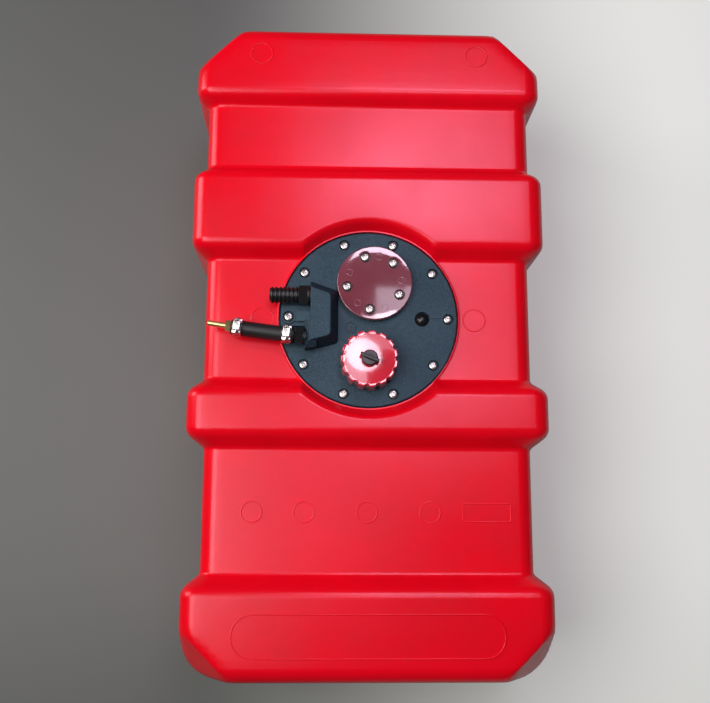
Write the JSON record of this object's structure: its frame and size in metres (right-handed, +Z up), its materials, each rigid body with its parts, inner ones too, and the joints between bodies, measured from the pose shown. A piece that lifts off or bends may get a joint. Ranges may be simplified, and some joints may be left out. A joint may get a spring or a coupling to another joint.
{
  "type": "portable marine fuel tank",
  "caption": "Flat blow-moulded fuel tank with raised bands and a round flange carrying filler cap, vent, blanked sender port and fuel outlet with a short hose.",
  "frame": {"origin": "middle of the tank's footprint on the ground, under the middle of its overall box", "axes": "+Z up with the tank lying flat, +Y along the tank towards its far end, +X across it to the right when seen from the near end"},
  "size_m": [0.357, 0.65, 0.2512],
  "materials": {
    "tank_plastic": "satin red polyethylene",
    "cap_plastic": "glossy red",
    "cover_plastic": "glossy dark red",
    "black_plastic": "satin black moulding",
    "rubber": "matt black",
    "steel": "bright stainless",
    "brass": "machined",
    "natural_plastic": "milky"
  },
  "bodies": {
    "tank": {"tank_shell": "tank_plastic", "flange_gasket": "rubber", "mounting_flange": "black_plastic", "flange_screw_01": "steel", "flange_screw_02": "steel", "flange_screw_03": "steel", "flange_screw_04": "steel", "flange_screw_05": "steel", "flange_screw_06": "steel", "flange_screw_07": "steel", "flange_screw_08": "steel", "flange_screw_09": "steel", "flange_screw_10": "steel", "sender_gasket": "rubber", "sender_cover": "cover_plastic", "filler_neck": "black_plastic", "cover_screw_1": "steel", "cover_screw_2": "steel", "cover_screw_3": "steel", "cover_screw_4": "steel", "cover_screw_5": "steel", "outlet_housing": "black_plastic", "vent_port_o_ring": "rubber", "outlet_port_o_ring": "rubber", "housing_screw_1": "steel", "housing_screw_2": "steel", "vent_hose_tail": "black_plastic", "vent_tail_washer": "rubber", "fuel_outlet_fitting": "black_plastic", "outlet_fitting_washer": "rubber", "fuel_hose": "rubber", "hose_clamp_1": "steel", "hose_clamp_2": "steel", "clamp_screw_1": "steel", "clamp_screw_2": "steel", "brass_nipple": "brass", "port_plug": "rubber", "pickup_tube": "natural_plastic", "pickup_strainer": "black_plastic"},
    "cap_seal": {"cap_gasket": "rubber"},
    "cap": {"filler_cap": "cap_plastic"},
    "vent_seal": {"vent_o_ring": "rubber"},
    "vent": {"vent_knob": "black_plastic"}
  },
  "joints": [
    {"name": "cap_rise", "type": "slide", "parent": "tank", "child": "cap_seal", "axis": [0, 0, 1], "range_m": [0, 0.018]},
    {"name": "cap_turn", "type": "hinge", "parent": "cap_seal", "child": "cap", "pos_m": [0, -0.024, 0.2355], "axis": [0, 0, 1], "range_deg": [0, 1080]},
    {"name": "vent_rise", "type": "slide", "parent": "cap", "child": "vent_seal", "axis": [0, 0, 1], "range_m": [0, 0.003]},
    {"name": "vent_turn", "type": "hinge", "parent": "vent_seal", "child": "vent", "pos_m": [0, -0.024, 0.2425], "axis": [0, 0, 1], "range_deg": [0, 540]}
  ],
  "couplings": [
    {"joint": "cap_rise", "follows": "cap_turn", "m_per_rad": 0.0009549},
    {"joint": "vent_turn", "follows": "vent_rise", "rad_per_m": 3141.6}
  ]
}
